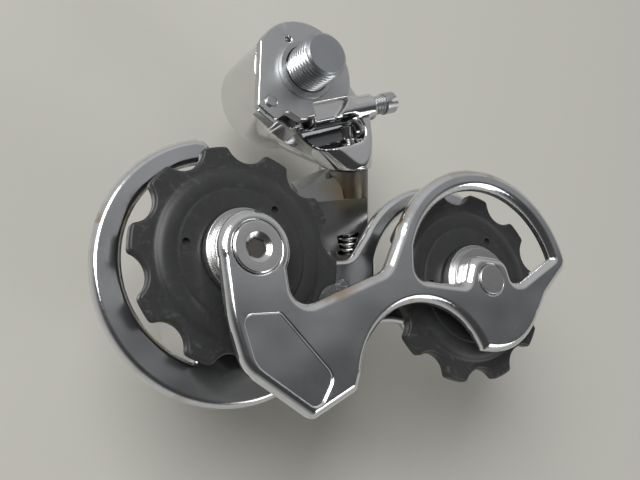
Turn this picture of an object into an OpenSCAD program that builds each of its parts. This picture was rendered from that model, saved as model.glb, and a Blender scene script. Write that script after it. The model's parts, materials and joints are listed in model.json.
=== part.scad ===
// Rear bicycle derailleur with a slanted parallelogram and a sprung two-pulley cage.
// +Z points along the mounting bolt to the wheel, +X to the rear, +Y up.
// The origin lies on the bolt axis, in the face that meets the frame hanger.

/* [Mounting bolt] */
// Outside diameter of the hanger thread
thread_d = 10; // [9:0.5:12]
// Length of thread beyond the hanger face
thread_len = 8; // [6:0.5:11]
// Diameter of the plain shoulder that the barrel turns on
shoulder_d = 11; // [10.6:0.2:12]
// Diameter of the bolt head
bolt_head_d = 15; // [13.6:0.2:18]
// Thickness of the bolt head
bolt_head_h = 3; // [2:0.25:5]
// Width across flats of the hexagon in the bolt head
bolt_hex = 6; // [4:0.5:7]
// Outside diameter of the hanger washer
washer_d = 12.8; // [12.2:0.2:15]
// Thickness of the hanger washer
washer_h = 1.3; // [0.8:0.1:2]

/* [Stop plate] */
// Diameter of the stop plate round the bolt
stop_disc_d = 22.8; // [21:0.2:23]
// Thickness of the stop plate
stop_plate_h = 1.8; // [1.2:0.1:2.2]
// Reach of the stop plate below the bolt axis
stop_reach = 12.6; // [11:0.2:14]
// Diameter of the stop pin that meets the hanger
stop_pin_d = 2.4; // [2:0.2:3.2]
// Height of the stop pin above its plate
stop_pin_h = 0.5; // [0.4:0.1:1]

/* [Upper knuckle] */
// Outside diameter of the barrel
barrel_d = 22; // [21:0.5:26]
// Length of the barrel
barrel_len = 17.5; // [16:0.5:22]
// Wall of the barrel round the spring
barrel_wall = 2; // [1.6:0.1:2.4]
// Thickness of the barrel face
barrel_face = 4.25; // [4.25:0.25:5]
// Wall of the bearing bush in the barrel
barrel_bush_wall = 0.8; // [0.6:0.1:1.2]
// Diameter of the bosses that hold the upper pivot pins
boss_d = 10.6; // [10:0.2:12]
// Length of the bosses along the pins
boss_len = 11; // [9.5:0.5:12]
// Diameter of the body angle screw
angle_screw_d = 3.5; // [3:0.25:4]
// Diameter of the limit screws
limit_screw_d = 3; // [2.5:0.25:4]
// Outside diameter of the cable adjuster
adjuster_d = 7.8; // [7:0.2:8.6]
// Diameter of the cable housing that the adjuster takes
housing_d = 5; // [4:0.25:5.5]

/* [Parallelogram] */
// Distance between the pins of each link
link_len = 38; // [34:0.5:44]
// Distance between the two links, square to the middle of their swing
link_gap = 10.5; // [10.5:0.25:13]
// Setback of the outer link behind the inner link
link_setback = 4; // [2:0.25:5]
// Tilt of the pins out of the wheel plane
pin_slant = 22; // [16:1:28]
// Fall of the links towards the front
link_fall = 15; // [10:1:20]
// Angle of the links outwards from the middle of their swing at rest
rest_angle = 12; // [8:1:16]
// Diameter of the pivot pins
pin_d = 4.2; // [3.8:0.1:4.6]
// Height of the links along the pins
link_h = 14; // [11:0.5:15]
// Thickness of the link plates
link_t = 2.6; // [2:0.2:3]
// Diameter of the link eyes
eye_d = 8.6; // [8.2:0.1:9]
// Wire diameter of the return spring
return_wire = 0.8; // [0.6:0.05:0.9]

// Diameter of the cable anchor bolt
anchor_d = 5; // [4:0.5:6]

/* [Lower knuckle] */
// Outside diameter of the lower barrel
lower_d = 21; // [20:0.5:24]
// Length of the lower barrel
lower_len = 18.8; // [17:0.2:21]
// Wall of the lower barrel round the spring
lower_wall = 2; // [1.4:0.1:2.4]
// Diameter of the cage pivot shaft
shaft_d = 8; // [7:0.25:9]
// Wall of the bush on the pivot shaft
pivot_bush_wall = 0.9; // [0.6:0.1:1.1]

/* [Cage] */
// Distance between the two pulley axes
pulley_gap = 55; // [52:0.5:62]
// Clear width between the cage plates
cage_gap = 11.8; // [11.2:0.1:13]
// Thickness of the inner cage plate
inner_plate_h = 2.6; // [2:0.1:3.2]
// Thickness of the outer cage plate
outer_plate_h = 2.2; // [1.6:0.1:2.6]
// Outer radius of the guard round the tension pulley
guard_r = 24.4; // [23.5:0.1:26]
// Width of the guard band
guard_band = 4.4; // [3.6:0.1:5]
// Outer radius of the guard ring round the guide pulley
ring_r = 26.6; // [25.8:0.1:27.6]
// Width of the guard ring at its free end
ring_band = 5; // [4.4:0.2:5.8]
// Drop of the hook below the guide pulley axis
hook_drop = 29.6; // [27:0.2:32]
// Radius of the plate boss round the guide bolt
guide_boss_r = 7.2; // [6.6:0.1:8]

/* [Pulleys] */
// Number of teeth on each pulley
teeth = 10; // [9:1:11]
// Radius over the tooth tips
tip_r = 21.2; // [20:0.1:22]
// Depth of the chain roller pockets
pocket_depth = 2.9; // [2.4:0.1:3.6]
// Radius of the chain roller pockets
pocket_r = 4.4; // [4:0.1:4.8]
// Width of the teeth
tooth_w = 2.6; // [2:0.1:3]
// Width of the pulley hub
hub_w = 5; // [4.6:0.1:5.6]
// Outside diameter of the pulley bearing
bearing_d = 16; // [15:0.5:17]
// Diameter of the pulley bolts
pulley_bolt_d = 5; // [4.5:0.25:5.5]
// Diameter of the dust caps on the bearings
cap_d = 16.6; // [15.6:0.2:18]

/* [Hidden] */
$fn = 64;
run_fit = 0.05;
side_fit = 0.3;

// Heights along the bolt axis
plate_top = -washer_h;
knuckle_face = plate_top - stop_plate_h - 0.1;
barrel_end = knuckle_face - barrel_len;
pulley_z = 0.5;
inner_face = pulley_z + cage_gap / 2;
outer_face = pulley_z - cage_gap / 2;
inner_top = inner_face + inner_plate_h;
outer_bottom = outer_face - outer_plate_h;
lower_top = outer_bottom - 0.5;
lower_end = lower_top - lower_len;

// Places across the bolt axis
pivot_from_guide = [5, -9.5];
pivot_from_pin = [10.4, -25.3];
stop_screw_at = [26.9, -2.3];

// Linkage frame: its z axis runs along the pins and its x axis along the links in mid swing
upper_pin_at = [16.3, -19.9, -9.9];
outer_offset = [-link_setback, -link_gap];
eye_top = 3.3;
eye_drop = 3;
plate_rise = -2.7;
boss_from = eye_top + side_fit;
lower_boss_from = -link_h - side_fit;
lower_boss_len = 6;

// Lower inner pin across the bolt axis, and the cage that hangs from its knuckle
lower_pin_at = [upper_pin_at.x, upper_pin_at.y] - link_len * [
  cos(rest_angle) * cos(link_fall) + sin(rest_angle) * sin(pin_slant) * sin(link_fall),
  cos(rest_angle) * sin(link_fall) - sin(rest_angle) * sin(pin_slant) * cos(link_fall)];
pivot_at = lower_pin_at + pivot_from_pin;
guide_at = pivot_at - pivot_from_guide;

// Pulley sizes
pocket_at = tip_r - pocket_depth + pocket_r;
bearing_w = hub_w;
race_gap = 2.4;
inner_race_r = bearing_d / 2 - 1.5 - race_gap;

// Angle screw axis, from its tip beside the stop plate to its head
angle_tip = [2.9, -9];
angle_turn = 22.5;
angle_len = 19.5;
angle_z = knuckle_face - angle_screw_d / 2 - 0.3;
angle_boss_r = angle_screw_d / 2 + 1.3;
lug_depth = 0.8;
lug_from = [-2.5, -0.4];
lug_size = [2.4, 3];
lug_bend_w = 1.8;

// Dish in the arm of the upper knuckle, beside the angle screw
dish_r = 3.4;
dish_offset = -4.6;
dish_z = knuckle_face + 1;
dish_ends = [-8, 9.5];
sight_bore_len = 9.2;

// Screw bosses and sockets of the upper knuckle
adjuster_at = [12, -0.5, -15.5];
upper_pin_hold = 6;
barrel_cap_h = 1.6;

// Bores shared by bushes, springs and caps
barrel_bush_r = shoulder_d / 2 + run_fit + barrel_bush_wall;
barrel_room_r = barrel_d / 2 - barrel_wall;
barrel_cap_r = barrel_d / 2 - 0.8;
pivot_bush_r = shaft_d / 2 + run_fit + pivot_bush_wall;
lower_room_r = lower_d / 2 - lower_wall;
lower_floor = 6.5;
pivot_cap_r = shaft_d * 0.875;
pivot_cap_screw_d = shaft_d * 0.375;

// Link plates, their return spring and the screws on the outer link
outer_face_y = -eye_d / 2 - 0.4;
outer_over = 8.5;
spring_room_r = eye_d / 2 - 0.7;
spring_floor = -eye_drop + 1.2;
spring_room = link_h - 5.6;
anchor_x = 15;
anchor_washer_h = anchor_d * 0.24;
limit_x = [23, 31];
limit_t = -link_h / 2 - 1.4;

// Small cage fittings
stop_screw_d = limit_screw_d - 0.2;
guide_head_r = pulley_bolt_d * 0.96;
guide_head_sink = 0.8;
tension_nut_d = pulley_bolt_d * 1.28;
tension_end_d = pulley_bolt_d * 0.7;

// Bearing balls and the turn of each pulley
ball_ring_r = inner_race_r + race_gap / 2;
ball_r = 1.3;
race_groove_r = ball_r + side_fit;
ball_count = 8;
guide_phase = -2;
tension_phase = 7;

steel = [0.62, 0.64, 0.66];
zinc = [0.7, 0.71, 0.7];
alloy = [0.78, 0.79, 0.8];
satin = [0.66, 0.68, 0.71];
plastic = [0.25, 0.26, 0.27];
brass = [0.72, 0.6, 0.36];

// Unit vector of a plane or space vector
function unit(v) = v / norm(v);

// Plane vector turned by an angle
function spun(v, a) = [v.x * cos(a) - v.y * sin(a), v.x * sin(a) + v.y * cos(a)];

// Point where a line from p touches the upper side of a circle of radius r round the origin, p left of it
function touch(p, r) = spun(r * unit(p), -acos(r / norm(p)));

// Points of the arc that rounds corner b between a and c, with its radius in b[2]
function corner(a, b, c, steps) =
  let (
    u = unit([a.x - b.x, a.y - b.y]),
    w = unit([c.x - b.x, c.y - b.y]),
    half = acos(u * w) / 2,
    mid = [b.x, b.y] + unit(u + w) * b[2] / sin(half),
    from = [b.x, b.y] + u * b[2] / tan(half) - mid,
    to = [b.x, b.y] + w * b[2] / tan(half) - mid,
    start = atan2(from.y, from.x),
    turn = atan2(from.x * to.y - from.y * to.x, from * to)
  )
  b[2] == 0 ? [[b.x, b.y]]
    : [for (i = [0:steps]) mid + b[2] * [cos(start + turn * i / steps), sin(start + turn * i / steps)]];

// Outline with rounded corners from points [x, y, radius]
function rounded(v, steps = 10) =
  [for (i = [0:len(v) - 1]) each corner(v[(i + len(v) - 1) % len(v)], v[i], v[(i + 1) % len(v)], steps)];

// Points of a sector that covers a turn from one angle to another
function sector(r, from, to) = concat([[0, 0]], [for (i = [0:12]) r * [cos(from + (to - from) * i / 12),
  sin(from + (to - from) * i / 12)]]);

// Wire round a coil: straight legs along z at both ends and turns of one pitch between them
coil_rings = 16;
wire_sides = 6;
function coil_path(r, turns, pitch, leg) = concat(
  [[r, 0, -leg]],
  [for (i = [0:turns * coil_rings])
    let (a = 360 * i / coil_rings) [r * cos(a), r * sin(a), pitch * i / coil_rings]],
  [[r * cos(360 * turns), r * sin(360 * turns), pitch * turns + leg]]);

// Ring of a tube round point i of a path
function path_ring(path, i, r) =
  let (
    last = len(path) - 1,
    along = unit(path[min(i + 1, last)] - path[max(i - 1, 0)]),
    out = unit([path[i].x, path[i].y, 0]),
    side = unit(cross(along, out)),
    up = cross(side, along)
  )
  [
    for (k = [0:wire_sides - 1])
      let (turn = 360 * k / wire_sides)
      path[i] + r * (cos(turn) * up + sin(turn) * side)
  ];

// Least distance between points of a coil that lie half a turn or more apart along it, less the wire
function self_gap(path, r) =
  min([
    for (i = [1:len(path) - 2])
      for (j = [i + coil_rings / 2:1:len(path) - 2])
        norm(path[i] - path[j])
  ]) - 2 * r;

// Closed tube along a coil's path
module coil(path, r, label) {
  n = len(path);
  k = wire_sides;
  points = [for (i = [0:n - 1]) each path_ring(path, i, r)];
  sides = [for (i = [0:n - 2]) for (j = [0:k - 1]) each [
    [i * k + j, (i + 1) * k + j, i * k + (j + 1) % k],
    [i * k + (j + 1) % k, (i + 1) * k + j, (i + 1) * k + (j + 1) % k]]];
  caps = [for (j = [1:k - 2]) each [[0, j, j + 1], [(n - 1) * k, (n - 1) * k + j + 1, (n - 1) * k + j]]];
  echo(str(label, " least gap to itself"), self_gap(path, r));
  polyhedron(points, concat(sides, caps));
}

// Cylinder between two heights on the z axis
module rod(r, from, to) {
  translate([0, 0, from]) cylinder(r = r, h = to - from);
}

// Tube between two heights on the z axis
module tube(r_out, r_in, from, to) {
  difference() {
    rod(r_out, from, to);
    rod(r_in, from - 1, to + 1);
  }
}

// Flat shape between two heights
module slab(from, to) {
  translate([0, 0, from]) linear_extrude(to - from) children();
}

// Hexagon recess of a width across flats
module hex(width, from, to) {
  translate([0, 0, from]) cylinder(d = width / cos(30), h = to - from, $fn = 6);
}

// Frame of the linkage at the upper inner pin
module linkage() {
  translate(upper_pin_at) rotate([0, 0, 180 + link_fall]) rotate([90 - pin_slant, 0, 0]) children();
}

// Frame at a point of the linkage, turned to the links' rest angle: x runs along the link, y inwards
module link_frame(at = [0, 0]) {
  linkage() translate([at.x, at.y, 0]) rotate([0, 0, -rest_angle]) children();
}

// Frame at the lower end of a link, square to the pins
module lower_end_frame(at = [0, 0]) {
  link_frame(at) translate([link_len, 0, 0]) children();
}

// Frame of the cage: origin on the guide pulley axis, in the contact face plane
module at_guide() {
  translate([guide_at.x, guide_at.y, 0]) children();
}

module at_tension() {
  translate([guide_at.x + pulley_gap, guide_at.y, 0]) children();
}

module at_pivot() {
  translate([pivot_at.x, pivot_at.y, 0]) children();
}

// Frame of the angle screw: x runs from its tip to its head
module angle_frame() {
  translate([angle_tip.x, angle_tip.y, angle_z]) rotate([0, 0, angle_turn]) rotate([0, 90, 0]) children();
}

// Mounting

module mounting_bolt() {
  neck_r = thread_d / 2 - 0.6;
  chamfer = 0.9;
  head_from = barrel_end - side_fit - bolt_head_h;
  color(steel) difference() {
    union() {
      rod(thread_d / 2, 0, thread_len - chamfer);
      translate([0, 0, thread_len - chamfer])
        cylinder(r1 = thread_d / 2, r2 = thread_d / 2 - chamfer, h = chamfer);
      rod(neck_r, plate_top - stop_plate_h, 0.1);
      rod(shoulder_d / 2, barrel_end - side_fit, plate_top - stop_plate_h);
      rod(bolt_head_d / 2, head_from, barrel_end - side_fit);
    }
    hex(bolt_hex, head_from - 1, head_from + bolt_head_h + 1.5);
  }
}

module hanger_washer() {
  color(zinc) tube(washer_d / 2, thread_d / 2 + 0.15, plate_top, 0);
}

// Disc on the bolt with a straight left side, a tab at the lower left and a lug beside the angle screw
module stop_outline() {
  disc_r = stop_disc_d / 2;
  left = disc_r - 0.8;
  difference() {
    union() {
      intersection() {
        circle(r = disc_r);
        polygon([[-left, disc_r], [disc_r, disc_r], [disc_r, -3], [2.2, -6.8], [-left, -2]]);
      }
      polygon(rounded([[-left, 0, 0], [-left - 0.2, -stop_reach + 2.4, 0.8], [-6.6, -stop_reach, 0.8],
        [-4, -stop_reach + 2.6, 1.4], [-1, -stop_reach + 1.4, 1.2], [0.8, -stop_reach + 1.8, 0.4],
        [2.2, -7, 0], [2.2, -4, 0], [0, 0, 0]]));
      translate(angle_tip) rotate(angle_turn) translate(lug_from) square(lug_size);
    }
    circle(r = thread_d / 2 - 0.5);
    translate([-4.1, 6.4]) circle(r = 0.7);
  }
}

module stop_plate() {
  fold_h = 0.4;
  color(satin) difference() {
    union() {
      slab(plate_top - stop_plate_h, plate_top) stop_outline();
      slab(angle_z - lug_depth / 2, plate_top)
        translate(angle_tip) rotate(angle_turn) translate(lug_from) square([lug_size.x, lug_bend_w]);
      translate([0.8 - stop_disc_d / 2, -stop_reach + 2.4, plate_top - stop_plate_h - fold_h])
        rotate([0, 0, -31]) translate([0.4, -1.2, 0]) cube([4.4, 1.4, fold_h + stop_plate_h]);
    }
    stop_pin_place() rod(stop_pin_d / 2, plate_top - 5, plate_top + 1);
  }
}

module stop_pin_place() {
  translate([-7.8, -stop_reach + 3.9, 0]) children();
}

module stop_pin() {
  color(steel) stop_pin_place() rod(stop_pin_d / 2, plate_top - stop_plate_h + 0.05, plate_top + stop_pin_h);
}

// Upper knuckle

module upper_arm(at, len, from, to) {
  hull() {
    linkage() translate([at.x, at.y, boss_from]) cylinder(d = boss_d, h = len, $fn = 32);
    translate([0, 0, from]) cylinder(d = barrel_d - 1, h = to - from, $fn = 32);
  }
}

module below_face() {
  translate([-60, -80, knuckle_face - 60]) cube([120, 140, 60]);
}

// Room that the stop plate's lug sweeps as the knuckle turns on the bolt
module lug_room() {
  slab(angle_z - lug_depth / 2 - side_fit, 1) intersection() {
    difference() {
      circle(r = barrel_d / 2 + 0.6);
      circle(r = norm(angle_tip + spun(lug_from + [lug_size.x, lug_bend_w], angle_turn)) - side_fit);
    }
    polygon(sector(40, -69, -121));
  }
}

// Frame of the cable adjuster: z points to the rear
module adjuster_frame() {
  translate(adjuster_at) rotate([0, 90, 0]) children();
}

// Raised crescent round the stop plate
module ledge() {
  slab(knuckle_face - 3, knuckle_face + 0.9) intersection() {
    circle(r = barrel_d / 2 + 3);
    polygon(sector(40, -60, -14));
  }
}

// Long hollow with one round end, beside the angle screw
module dish() {
  translate([angle_tip.x, angle_tip.y, dish_z]) rotate([0, 0, angle_turn]) translate([0, dish_offset, 0]) {
    rotate([0, 90, 0]) rod(dish_r, dish_ends[0], dish_ends[1]);
    translate([dish_ends[1], 0, 0]) sphere(r = dish_r);
  }
}

module upper_knuckle() {
  outer_boss_len = 7.5;
  stem_r = adjuster_d / 2 - 1.2;
  color(alloy) difference() {
    union() {
      rod(barrel_d / 2, barrel_end, knuckle_face);
      intersection() {
        union() {
          upper_arm([0, 0], boss_len, knuckle_face - 11, knuckle_face - 1);
          upper_arm(outer_offset, outer_boss_len, barrel_end + 3, knuckle_face - 7);
          angle_frame() rod(angle_boss_r, 0, angle_len - 2);
        }
        below_face();
      }
      difference() {
        union() {
          angle_frame() rod(angle_boss_r, 0, angle_len - 2);
          ledge();
        }
        rod(stop_disc_d / 2 + side_fit + 0.1, knuckle_face, 5);
      }
      adjuster_frame() rod(adjuster_d / 2 + 0.2, -6, 5.4);
    }
    rod(barrel_bush_r, barrel_end - 1, knuckle_face + 1);
    tube(barrel_room_r, barrel_bush_r - 0.1, barrel_end - 1, knuckle_face - barrel_face);
    link_pin_bore([0, 0]);
    link_pin_bore(outer_offset);
    rod(barrel_cap_r, barrel_end - 1, barrel_end + barrel_cap_h);
    linkage() rod(pin_d / 2 - 0.6, boss_from, boss_from + sight_bore_len);
    angle_frame() rod(angle_screw_d / 2, -1, angle_len + 2);
    adjuster_frame() rod(stem_r, 0, 7);
    adjuster_frame() rod(adjuster_d / 2 + side_fit, 5.5, 20);
    lug_room();
    dish();
  }
}

module link_pin_bore(at) {
  linkage() translate([at.x, at.y, 0]) rod(pin_d / 2, boss_from - 1, boss_from + upper_pin_hold);
}

module barrel_bush() {
  in_r = shoulder_d / 2 + run_fit;
  color(brass) tube(in_r + barrel_bush_wall, in_r, barrel_end + 0.05, knuckle_face - 0.05);
}

module barrel_spring() {
  turns = 4;
  room = barrel_len - barrel_face - barrel_cap_h - 5;
  wire_r = 0.35 * room / turns;
  color(steel) translate([0, 0, barrel_end + barrel_cap_h + 2.5])
    coil(coil_path((barrel_room_r + barrel_bush_r) / 2, turns, room / turns, 1.4), wire_r, "barrel spring");
}

module barrel_cap() {
  color(alloy) tube(barrel_cap_r - 0.02, barrel_bush_r + 0.02, barrel_end, barrel_end + barrel_cap_h);
}

module pin(from, to) {
  rod(pin_d / 2 - run_fit, from, to);
}

module upper_inner_pin() {
  color(steel) linkage() upper_pin_shape(eye_drop);
}

module upper_outer_pin() {
  color(steel) linkage() translate([outer_offset.x, outer_offset.y, 0]) upper_pin_shape(0);
}

// Pin with a flat head under the link eye, which drops below the link plate
module upper_pin_shape(drop) {
  head_h = 1.2;
  head_top = -link_h - drop - side_fit;
  union() {
    pin(head_top, boss_from + upper_pin_hold);
    rod(pin_d / 2 + 0.9, head_top - head_h, head_top);
  }
}

// Cheese head screw along z with its head at the top
module cheese_screw(d, len, head_d, head_h) {
  slot_w = d * 0.25;
  difference() {
    union() {
      rod(d / 2 - 0.02, 0, len);
      rod(head_d / 2, len, len + head_h);
    }
    translate([-head_d, -slot_w / 2, len + head_h * 0.45]) cube([2 * head_d, slot_w, head_h]);
  }
}

module angle_screw() {
  color(zinc) angle_frame()
    cheese_screw(angle_screw_d, angle_len + 1.6, angle_screw_d * 1.4, angle_screw_d * 0.86);
}

// Limit screw in the outer link: it points inwards, square to the link plate
module limit_screw(at) {
  reach = limit_screw_d * 0.8;
  link_frame(outer_offset) translate([at, outer_face_y + link_t + reach, limit_t]) rotate([90, 0, 0])
    cheese_screw(limit_screw_d, link_t + reach + 0.8, limit_screw_d * 1.5, limit_screw_d * 0.6);
}

module high_limit_screw() {
  color(zinc) limit_screw(limit_x[0]);
}

module low_limit_screw() {
  color(zinc) limit_screw(limit_x[1]);
}

// Hollow screw that takes the end of the cable housing
module cable_adjuster() {
  stem_r = adjuster_d / 2 - 1.2;
  knob_from = 5.8;
  color(zinc) adjuster_frame() difference() {
    union() {
      rod(stem_r - 0.02, 0.2, knob_from);
      rod(adjuster_d / 2, knob_from, knob_from + 6);
    }
    rod(housing_d / 2 + 0.1, knob_from + 1.6, knob_from + 7);
    rod(0.9, -1, knob_from + 2);
  }
}

// Links

module inner_link() {
  plate_y = eye_d / 2 - link_t;
  color(satin) link_frame() difference() {
    union() {
      rod(eye_d / 2, -link_h - eye_drop, eye_top);
      translate([link_len, 0, 0]) rod(eye_d / 2, -link_h, plate_rise);
      translate([0, 0, -link_h]) linear_extrude(link_h + plate_rise)
        polygon([[-eye_d * 0.3, 0], [-eye_d * 0.3, eye_d / 2], [link_len + 2, eye_d / 2],
          [link_len + 2, plate_y], [eye_d / 2, plate_y], [eye_d / 2, 0]]);
      stop_lug();
    }
    rod(pin_d / 2, -link_h - eye_drop - 1, eye_top + 1);
    rod(spring_room_r, -link_h + spring_floor, -link_h + spring_floor + spring_room);
    translate([link_len, 0, 0]) rod(pin_d / 2 + 0.25, -link_h - 1, 1);
    spring_window();
  }
}

// Three-cornered window in front of the return spring
module spring_window() {
  translate([0, 0, -link_h]) rotate([-90, 0, 0]) linear_extrude(eye_d)
    polygon(rounded([[-1.1, -3.8, 0.6], [4.9, -3.4, 0.6], [3.6, 1.6, 0.5], [1.2, 1.4, 0.5]], 6));
}

// Shelf on top of the inner link that the limit screws set; its top falls along the link and to the front
module stop_lug() {
  foot = plate_rise - 0.1;
  corner_at = [4.2, 1.9, 2.1];
  fall = [8.75, 11.3];
  far = 13.6;
  intersection() {
    slab(foot, eye_top) polygon([[3, 5], [far, 5], [far - 0.8, -2.2], [4.8, -4.7], [3, -4.2]]);
    rotate([90, 0, 90]) linear_extrude(far + 1)
      polygon([[-eye_d, foot], [eye_d / 2, foot], [corner_at.y, corner_at.z], [corner_at.y, eye_top],
        [-eye_d, eye_top]]);
    translate(corner_at) rotate([-fall[0], fall[1], 0]) translate([-50, -50, -20]) cube([100, 100, 20]);
  }
}

module return_spring() {
  wire_r = return_wire / 2;
  turns = 5;
  end_room = 1;
  room = spring_room - 2 * end_room;
  color(steel) link_frame() translate([0, 0, -link_h + spring_floor + end_room])
    coil(coil_path((spring_room_r + pin_d / 2) / 2, turns, room / turns, 0.6), wire_r, "return spring");
}

module outer_link() {
  color(alloy) link_frame(outer_offset) difference() {
    union() {
      for (x = [0, link_len]) translate([x, 0, 0]) rod(eye_d / 2, -link_h, x == 0 ? eye_top : plate_rise);
      translate([0, 0, -link_h]) linear_extrude(link_h + plate_rise)
        polygon(rounded([[-outer_over, outer_face_y, 1.2], [link_len + 5, outer_face_y, 1.2],
          [link_len + 5, outer_face_y + link_t, 1], [-outer_over, outer_face_y + link_t, 1]], 4));
      anchor_lug();
    }
    rod(pin_d / 2, -link_h - 1, eye_top + 1);
    translate([link_len, 0, 0]) rod(pin_d / 2, -link_h - 1, 1);
    anchor_frame() rod(anchor_d / 2, -8, 8);
    for (x = limit_x) translate([x, 0, limit_t]) rotate([90, 0, 0]) rod(limit_screw_d / 2, -2, eye_d);
  }
}

// Frame of the cable anchor: z points outwards from the outer link
module anchor_frame() {
  translate([anchor_x, outer_face_y, -link_h - 3.4]) rotate([90, 0, 0]) children();
}

module anchor_lug() {
  lug_r = anchor_d * 0.92;
  anchor_frame() translate([0, 0, -link_t]) union() {
    cylinder(r = lug_r, h = link_t);
    translate([-lug_r, 0, 0]) cube([2 * lug_r, 5, link_t]);
  }
}

module cable_washer() {
  color(zinc) link_frame(outer_offset) anchor_frame()
    tube(anchor_d * 0.88, anchor_d / 2 + 0.1, 0, anchor_washer_h);
}

module cable_anchor_bolt() {
  head_top = anchor_washer_h + anchor_d * 0.72;
  color(zinc) link_frame(outer_offset) anchor_frame() difference() {
    union() {
      rod(anchor_d / 2 - 0.02, -link_t - 1.5, anchor_washer_h);
      rod(anchor_d * 0.8, anchor_washer_h, head_top);
    }
    hex(anchor_d * 0.8, head_top - anchor_d / 2, head_top + 1);
  }
}

// Lower knuckle

module lower_boss(at) {
  lower_end_frame(at) translate([0, 0, lower_boss_from - lower_boss_len])
    cylinder(d = boss_d - 0.8, h = lower_boss_len, $fn = 32);
}

module stop_arm_frame() {
  from_pivot = stop_screw_at - pivot_from_guide;
  at_pivot() rotate([0, 0, atan2(from_pivot.y, from_pivot.x)]) children();
}

module lower_knuckle() {
  stop_radius = norm(stop_screw_at - pivot_from_guide);
  arm_gap = stop_screw_d / 2 + side_fit;
  color(alloy) difference() {
    union() {
      at_pivot() rod(lower_d / 2, lower_end, lower_top);
      hull() {
        lower_boss([0, 0]);
        at_pivot() translate([0, 0, lower_end]) cylinder(d = lower_d - 3, h = 8, $fn = 32);
      }
      hull() {
        lower_boss(outer_offset);
        at_pivot() translate([0, 0, lower_end]) cylinder(d = lower_d - 3, h = 5, $fn = 32);
      }
      stop_arm_frame() translate([lower_d / 2 - 4, arm_gap, lower_top - 3])
        cube([stop_radius + 2 - lower_d / 2 + 4, 4, 2.8]);
    }
    at_pivot() rod(pivot_bush_r, lower_end - 1, lower_top + 1);
    at_pivot() rod(pivot_cap_r + 0.6, lower_end - 30, lower_end);
    at_pivot() tube(lower_room_r, pivot_bush_r - 0.1, lower_end + lower_floor, lower_top + 1);
    for (at = [[0, 0], outer_offset]) lower_end_frame(at) rod(pin_d / 2, lower_boss_from - 4.6, 0);
  }
}

module lower_pin(at) {
  lower_end_frame(at) pin(lower_boss_from - 4.5, plate_rise);
}

module lower_inner_pin() {
  color(steel) lower_pin([0, 0]);
}

module lower_outer_pin() {
  color(steel) lower_pin(outer_offset);
}

module pivot_bush() {
  in_r = shaft_d / 2 + run_fit;
  color(brass) at_pivot() tube(in_r + pivot_bush_wall, in_r, lower_end + 0.1, lower_top - 0.1);
}

module cage_spring() {
  wire_r = 0.7;
  turns = 4;
  end_room = 2.5;
  room = lower_len - lower_floor - 2 * end_room;
  color(steel) at_pivot() translate([0, 0, lower_end + lower_floor + end_room])
    coil(coil_path((lower_room_r + pivot_bush_r) / 2, turns, room / turns, 1.5), wire_r, "cage spring");
}

// Cage

module pivot_shaft() {
  color(steel) at_pivot() difference() {
    rod(shaft_d / 2, lower_end - 0.5, outer_face);
    rod(pivot_cap_screw_d / 2, lower_end - 1, lower_end + 9);
  }
}

module pivot_cap() {
  cap_h = shaft_d / 4;
  color(alloy) at_pivot() difference() {
    union() {
      rod(pivot_cap_r, lower_end - 0.5 - cap_h, lower_end - 0.5);
      rod(pivot_cap_screw_d / 2 - 0.02, lower_end - 0.6, lower_end + 8);
    }
    hex(shaft_d * 0.6, lower_end - 4, lower_end - 1.2);
  }
}

// Guard round the tension pulley with its lower lobe, around the tension axis
module guard_blank(from, to) {
  lobe_r = 15.2;
  union() {
    rod(lobe_r, from, to);
    intersection() {
      rod(guard_r, from, to);
      slab(from - 1, to + 1) polygon(rounded([[-40, -4, 0], [-8, -9, 0], [11, -9.6, 0], [14.4, -5.6, 4],
        [16.6, -1.6, 4], [guard_r - 1.1, 5.6, 4], [guard_r - 0.9, 30, 0], [-40, 30, 0]]));
    }
  }
}

// Window between the guard and the lobe, with the eye of the tension axis standing into it
module guard_window(from, to) {
  inner_r = guard_r - guard_band;
  sill = -1.8;
  intersection() {
    rod(inner_r, from - 1, to + 1);
    slab(from - 2, to + 2) polygon(rounded([[-inner_r + 0.6, sill, 2.6], [-6.6, sill, 1.6], [-4.4, 5.1, 3.4],
      [4.8, 5.1, 3.4], [6.6, 0, 1.5], [9, 0.4, 2.5], [30, 14.6, 0], [30, 30, 0], [-inner_r + 0.6, 30, 0]]));
  }
}

// Arm from the guide axis over the hook to the tension lobe, around the guide axis
module hook_blank(from, to) {
  crotch = [-guard_r - 2.4, -1];
  neck_top = touch(crotch, guard_r - 0.15);
  union() {
    rod(guide_boss_r, from, to);
    slab(from, to) polygon(rounded([
      [-guide_boss_r + 0.3, -1.5, 0], [-4.9, -13, 30], [-1.6, -hook_drop + 7.6, 7],
      [12.2, -hook_drop - 0.4, 1.6], [21.6, -hook_drop + 5.2, 2], [22.6, -21, 0], [pulley_gap - 16, -20, 0],
      [pulley_gap - 4, -12, 0], [pulley_gap, 0, 0], [pulley_gap + neck_top.x, neck_top.y, 0],
      [pulley_gap + crotch.x, crotch.y, 4.4], [8, -10.7, 3.4], [guide_boss_r - 0.9, -1.5, 0]], 12));
  }
}

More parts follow.
